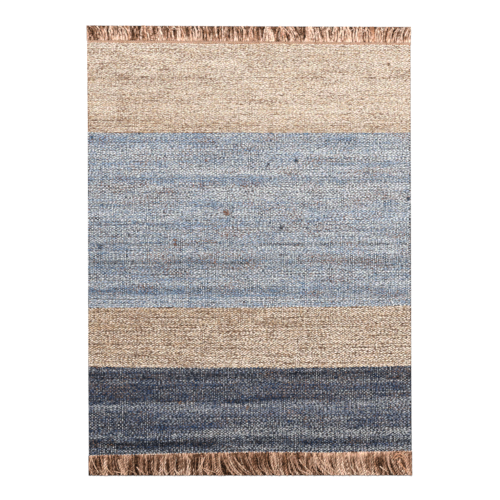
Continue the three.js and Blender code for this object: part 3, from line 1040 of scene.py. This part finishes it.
def stray_group(ends, rng):
    """Yarns of two plies that lie across the locks, each highest in its middle."""
    root_x, root_y, tip_x, tip_y, bow, tone, tint = (
        np.array(values)[:, None] for values in zip(*ends.strays)
    )
    t = np.linspace(0, 1, STRAY_RINGS)
    x = mix(root_x, tip_x, t ** STRAY_BEND) + SHIFT_X
    y = mix(root_y, tip_y, t) + bow * np.sin(math.pi * t) + SHIFT_Y
    blank = np.zeros_like(x)
    z = blank + STRAY_REST * (1 - STRAY_SAG * (2 * t - 1) ** 2)
    radius = blank + STRAY_RADIUS * mix(1, STRAY_TIP, t)
    path = np.stack([x, y, z], 2)
    return twisted(path, 2, radius, STRAY_OFFSET, ends.twist, blank + tone, tint, rng)


def fringe(ends, material):
    rng = np.random.default_rng(ends.seed)
    groups = []
    for layer in ends.layers:
        groups += lock_group(ends, layer, rng)
    groups += stray_group(ends, rng)
    return tube_piece(ends.name, groups, material)


# Materials

def srgb(red, green, blue):
    """A colour from its 0 to 255 display values, as the linear one that shaders take."""
    def linear(value):
        value /= 255
        return value / 12.92 if value <= 0.04045 else ((value + 0.055) / 1.055) ** 2.4
    return (linear(red), linear(green), linear(blue), 1.0)


def add(tree, kind, inputs=None, **settings):
    """A node with its settings, and its inputs linked or set by name or number."""
    node = tree.nodes.new("ShaderNode" + kind)
    for key, value in settings.items():
        setattr(node, key, value)
    for key, value in (inputs or {}).items():
        if isinstance(value, bpy.types.NodeSocket):
            tree.links.new(value, node.inputs[key])
        else:
            node.inputs[key].default_value = value
    return node


def maths(tree, operation, a, b, c=0.0):
    return add(tree, "Math", {0: a, 1: b, 2: c}, operation=operation).outputs[0]


def clamped(tree, value):
    return add(tree, "Clamp", {0: value}).outputs[0]


def blended(tree, share, a, b, blend="MIX"):
    """Two colours mixed by a share. The node's colours go in at 6 and 7, and come out at 2."""
    node = add(tree, "Mix", {0: share, 6: a, 7: b}, data_type="RGBA", blend_type=blend)
    return node.outputs[2]


def read_field(tree, name):
    return add(tree, "Attribute", attribute_name=name).outputs["Fac"]


def fibres(tree, scales, detail=1):
    """Fine noise drawn out along the yarn, by its scales along X, Y and Z."""
    place = add(tree, "TexCoord").outputs["Object"]
    drawn = add(tree, "Mapping", {"Vector": place, "Scale": scales}).outputs[0]
    noise = add(tree, "TexNoise", {"Vector": drawn, "Scale": 1, "Detail": detail})
    return noise.outputs["Fac"]


def centred(tree, noise, spread):
    """Noise as an offset that is zero on average."""
    return maths(tree, "MULTIPLY_ADD", noise, spread, -spread / 2)


def flecks(tree, dye):
    """Short bits of bark in the yarn, more of them where the field rust is high."""
    level = maths(tree, "MULTIPLY_ADD", read_field(tree, "rust"), BARK_FOR_RUST, dye.flecked)
    share = maths(tree, "SUBTRACT", level, fibres(tree, dye.bark, detail=0))
    crisp = clamped(tree, maths(tree, "MULTIPLY", share, BARK_CRISP))
    return maths(tree, "MULTIPLY", crisp, BARK_MOST)


def ramp_colour(tree, value, positions, colours):
    ramp = add(tree, "ValToRGB", {0: value})
    elements = ramp.color_ramp.elements
    while len(elements) < len(positions):
        elements.new(0.5)
    for element, position, colour in zip(elements, positions, colours):
        element.position = position
        element.color = srgb(*colour)
    return ramp.outputs[0]


def new_material(name):
    """A material with no nodes yet, and its tree."""
    material = bpy.data.materials.new(name)
    material.use_nodes = True
    material.node_tree.nodes.clear()
    return material, material.node_tree


def surface(tree, colour, roughness, specular=SPECULAR, **more):
    """A matte surface of a colour, joined to the material's output."""
    inputs = {"Base Color": colour, "Roughness": roughness, "Specular IOR Level": specular, **more}
    shader = add(tree, "BsdfPrincipled", inputs)
    add(tree, "OutputMaterial", {"Surface": shader.outputs[0]})


def jute_colour(tree, dye, fibre):
    """The yarn's colour, by its fields tone, tint, rust and depth and by fine noise."""
    grain = centred(tree, fibre, dye.spread)
    speckle = centred(tree, fibres(tree, dye.speckle), dye.spread)
    tone = maths(tree, "ADD", maths(tree, "ADD", read_field(tree, "tone"), grain), speckle)
    plain = ramp_colour(tree, tone, RAMP_AT, dye.ramp)
    tinge = centred(tree, fibres(tree, TINGE), dye.tinge)
    tint = clamped(tree, maths(tree, "ADD", read_field(tree, "tint"), tinge))
    tinted = blended(tree, maths(tree, "MULTIPLY", tint, TINT_MOST), plain, srgb(*dye.tint))
    rusty = blended(tree, flecks(tree, dye), tinted, srgb(*dye.rust))
    drift = maths(tree, "MULTIPLY_ADD", fibres(tree, HUE), HUE_GAIN, (1 - HUE_GAIN) / 2)
    hue = blended(tree, clamped(tree, drift), ROSY, GREENISH)
    drifted = blended(tree, 1.0, rusty, hue, "MULTIPLY")
    # Painted shade: the field depth pulls the colour towards the dye's shade colour
    deep = maths(tree, "MULTIPLY", read_field(tree, "depth"), dye.deep)
    return blended(tree, deep, drifted, srgb(*dye.shade))


def jute_material(name, dye):
    """Dyed yarn, with the relief of its fibres."""
    material, tree = new_material(name)
    fibre = fibres(tree, dye.grain)
    relief = {"Height": fibre, "Strength": BUMP_STRENGTH, "Distance": BUMP_HEIGHT}
    bump = add(tree, "Bump", relief)
    surface(tree, jute_colour(tree, dye, fibre), YARN_ROUGHNESS, Normal=bump.outputs[0])
    return material


def ground_material(name, dark, fleck):
    """Packed warps seen between the floats: dark, with flecks of bare jute."""
    material, tree = new_material(name)
    # The first colour is partly the yarn seen in the gaps and partly painted shade there
    colour = ramp_colour(tree, fibres(tree, GROUND_FIBRES), GROUND_STOPS, (dark, fleck))
    surface(tree, colour, GROUND_ROUGHNESS)
    return material


# The room

def floor():
    bpy.ops.mesh.primitive_plane_add(size=FLOOR_SIZE, location=(0, 0, -FLOOR_GAP))
    plane = bpy.context.object
    plane.name = "floor"
    material, tree = new_material("pale_floor")
    surface(tree, FLOOR_GREY, FLOOR_ROUGHNESS, FLOOR_SPECULAR)
    plane.data.materials.append(material)


def light():
    """One broad soft key from the upper left, and an even fill from all round."""
    key = bpy.data.lights.new("key", "SUN")
    key.energy = KEY_STRENGTH
    key.angle = KEY_BREADTH
    new_object("key", key).rotation_euler = (KEY_TILT_X, KEY_TILT_Y, 0)
    world = bpy.data.worlds.new("studio")
    world.use_nodes = True
    inputs = world.node_tree.nodes["Background"].inputs
    inputs["Color"].default_value = (1, 1, 1, 1)
    inputs["Strength"].default_value = FILL_STRENGTH
    bpy.context.scene.world = world


def camera():
    """Straight above the rug, framed as in the photo."""
    data = bpy.data.cameras.new("camera")
    data.lens = LENS
    data.sensor_width = SENSOR
    eye = new_object("camera", data)
    eye.location = (VIEW_X, VIEW_Y, PIXEL * PHOTO_WIDTH * LENS / SENSOR)
    bpy.context.scene.camera = eye


bpy.context.scene.view_settings.view_transform = "Standard"
camera()
floor()
light()

materials = {name: jute_material(name, dye) for name, dye in DYES.items()}
ground = ground_sheet([ground_material(*look) for look in GROUNDS])
wefts = [weft_band(band, materials[band.slot]) for band in BANDS]
headers = [header_rows(header, materials[FRINGE]) for header in (FAR_HEADER, NEAR_HEADER)]
far_fringe = fringe(FAR_ENDS, materials[FRINGE])
near_fringe = fringe(NEAR_ENDS, materials["near_fringe"])

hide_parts("rug_cloth")
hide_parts("fringe_top")
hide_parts("fringe_bottom")
